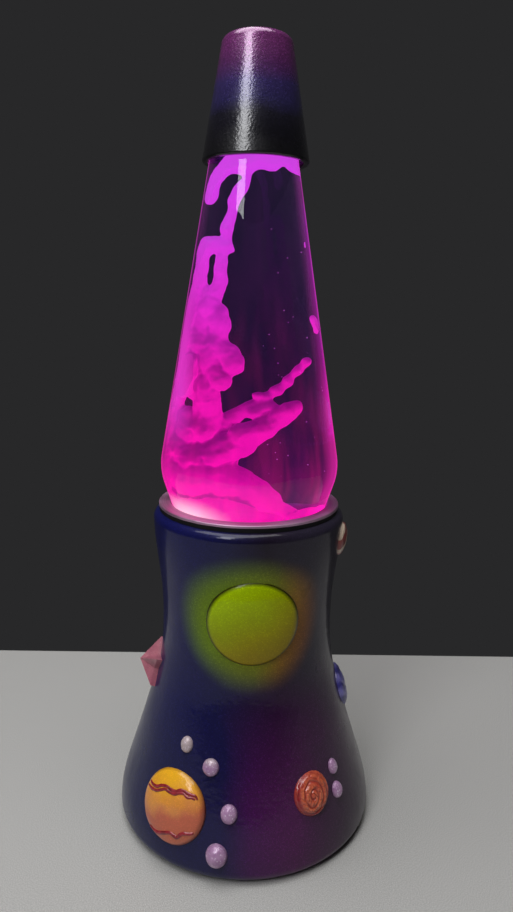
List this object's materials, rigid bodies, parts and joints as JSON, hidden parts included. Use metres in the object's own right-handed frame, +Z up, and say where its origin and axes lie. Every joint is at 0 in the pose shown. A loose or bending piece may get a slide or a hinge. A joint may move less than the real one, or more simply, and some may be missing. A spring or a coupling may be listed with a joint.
{
  "type": "lava lamp",
  "caption": "Lava lamp: sealed tapered bottle of dyed liquid and pink wax on a flared, hand-sculpted base with clay planets, under a painted cone cap.",
  "frame": {"origin": "centre of the footprint, on the surface the lamp stands on", "axes": "+Z up along the lamp, -Y towards its front, +X to the right as seen from the front"},
  "size_m": [0.1288, 0.1315, 0.368],
  "materials": {
    "painted_clay": "gloss",
    "spun_aluminium": "satin",
    "black_rubber": "matte",
    "green_clay": "gloss",
    "orange_clay": "gloss",
    "coral_clay": "gloss",
    "red_clay": "gloss",
    "violet_clay": "gloss",
    "pearl_clay": "gloss",
    "pink_clay": "gloss",
    "plate_steel": "satin",
    "zinc_steel": "satin",
    "brass": "satin",
    "phenolic": "satin",
    "bulb_glass": "polished",
    "bulb_metal": "satin",
    "filament_wire": "satin",
    "bottle_glass": "polished",
    "dyed_liquid": "gloss",
    "pink_wax": "satin",
    "spring_steel": "satin",
    "crown_steel": "satin",
    "liner_plastic": "satin",
    "painted_cap": "gloss"
  },
  "bodies": {
    "base": {"base_core": "spun_aluminium", "base_skin": "painted_clay", "rim_gasket": "black_rubber", "cord_inlet_grommet": "black_rubber", "green_planet": "green_clay", "orange_planet": "orange_clay", "swirl_planet": "coral_clay", "striped_planet": "red_clay", "violet_planet": "violet_clay", "moon_pearls": "pearl_clay", "pink_star": "pink_clay", "bottom_plate": "plate_steel", "plate_lugs": "zinc_steel", "plate_screws": "zinc_steel", "rubber_feet": "black_rubber", "socket_bracket": "zinc_steel", "bracket_rivets": "zinc_steel", "socket_nipple": "brass", "nipple_nut": "brass", "socket_body": "phenolic", "socket_thread": "brass", "socket_contact": "brass"},
    "bulb": {"bulb_envelope": "bulb_glass", "bulb_screw_shell": "bulb_metal", "bulb_insulator": "phenolic", "bulb_contact": "bulb_metal", "bulb_stem": "bulb_glass", "bulb_filament": "filament_wire"},
    "globe": {"glass_globe": "bottle_glass", "globe_liquid": "dyed_liquid", "wax": "pink_wax", "wire_coil": "spring_steel", "crown_liner": "liner_plastic", "crown_cap": "crown_steel"},
    "cap": {"decorative_cap": "painted_cap"}
  },
  "joints": [
    {"name": "globe_lift", "type": "slide", "parent": "base", "child": "globe", "axis": [0, 0, 1], "range_m": [0, 0.09]},
    {"name": "cap_lift", "type": "slide", "parent": "globe", "child": "cap", "axis": [0, 0, 1], "range_m": [0, 0.06]},
    {"name": "bulb_screw", "type": "hinge", "parent": "base", "child": "bulb", "pos_m": [0, 0, 0.0625], "axis": [0, 0, 1], "range_deg": [0, 1080]}
  ]
}
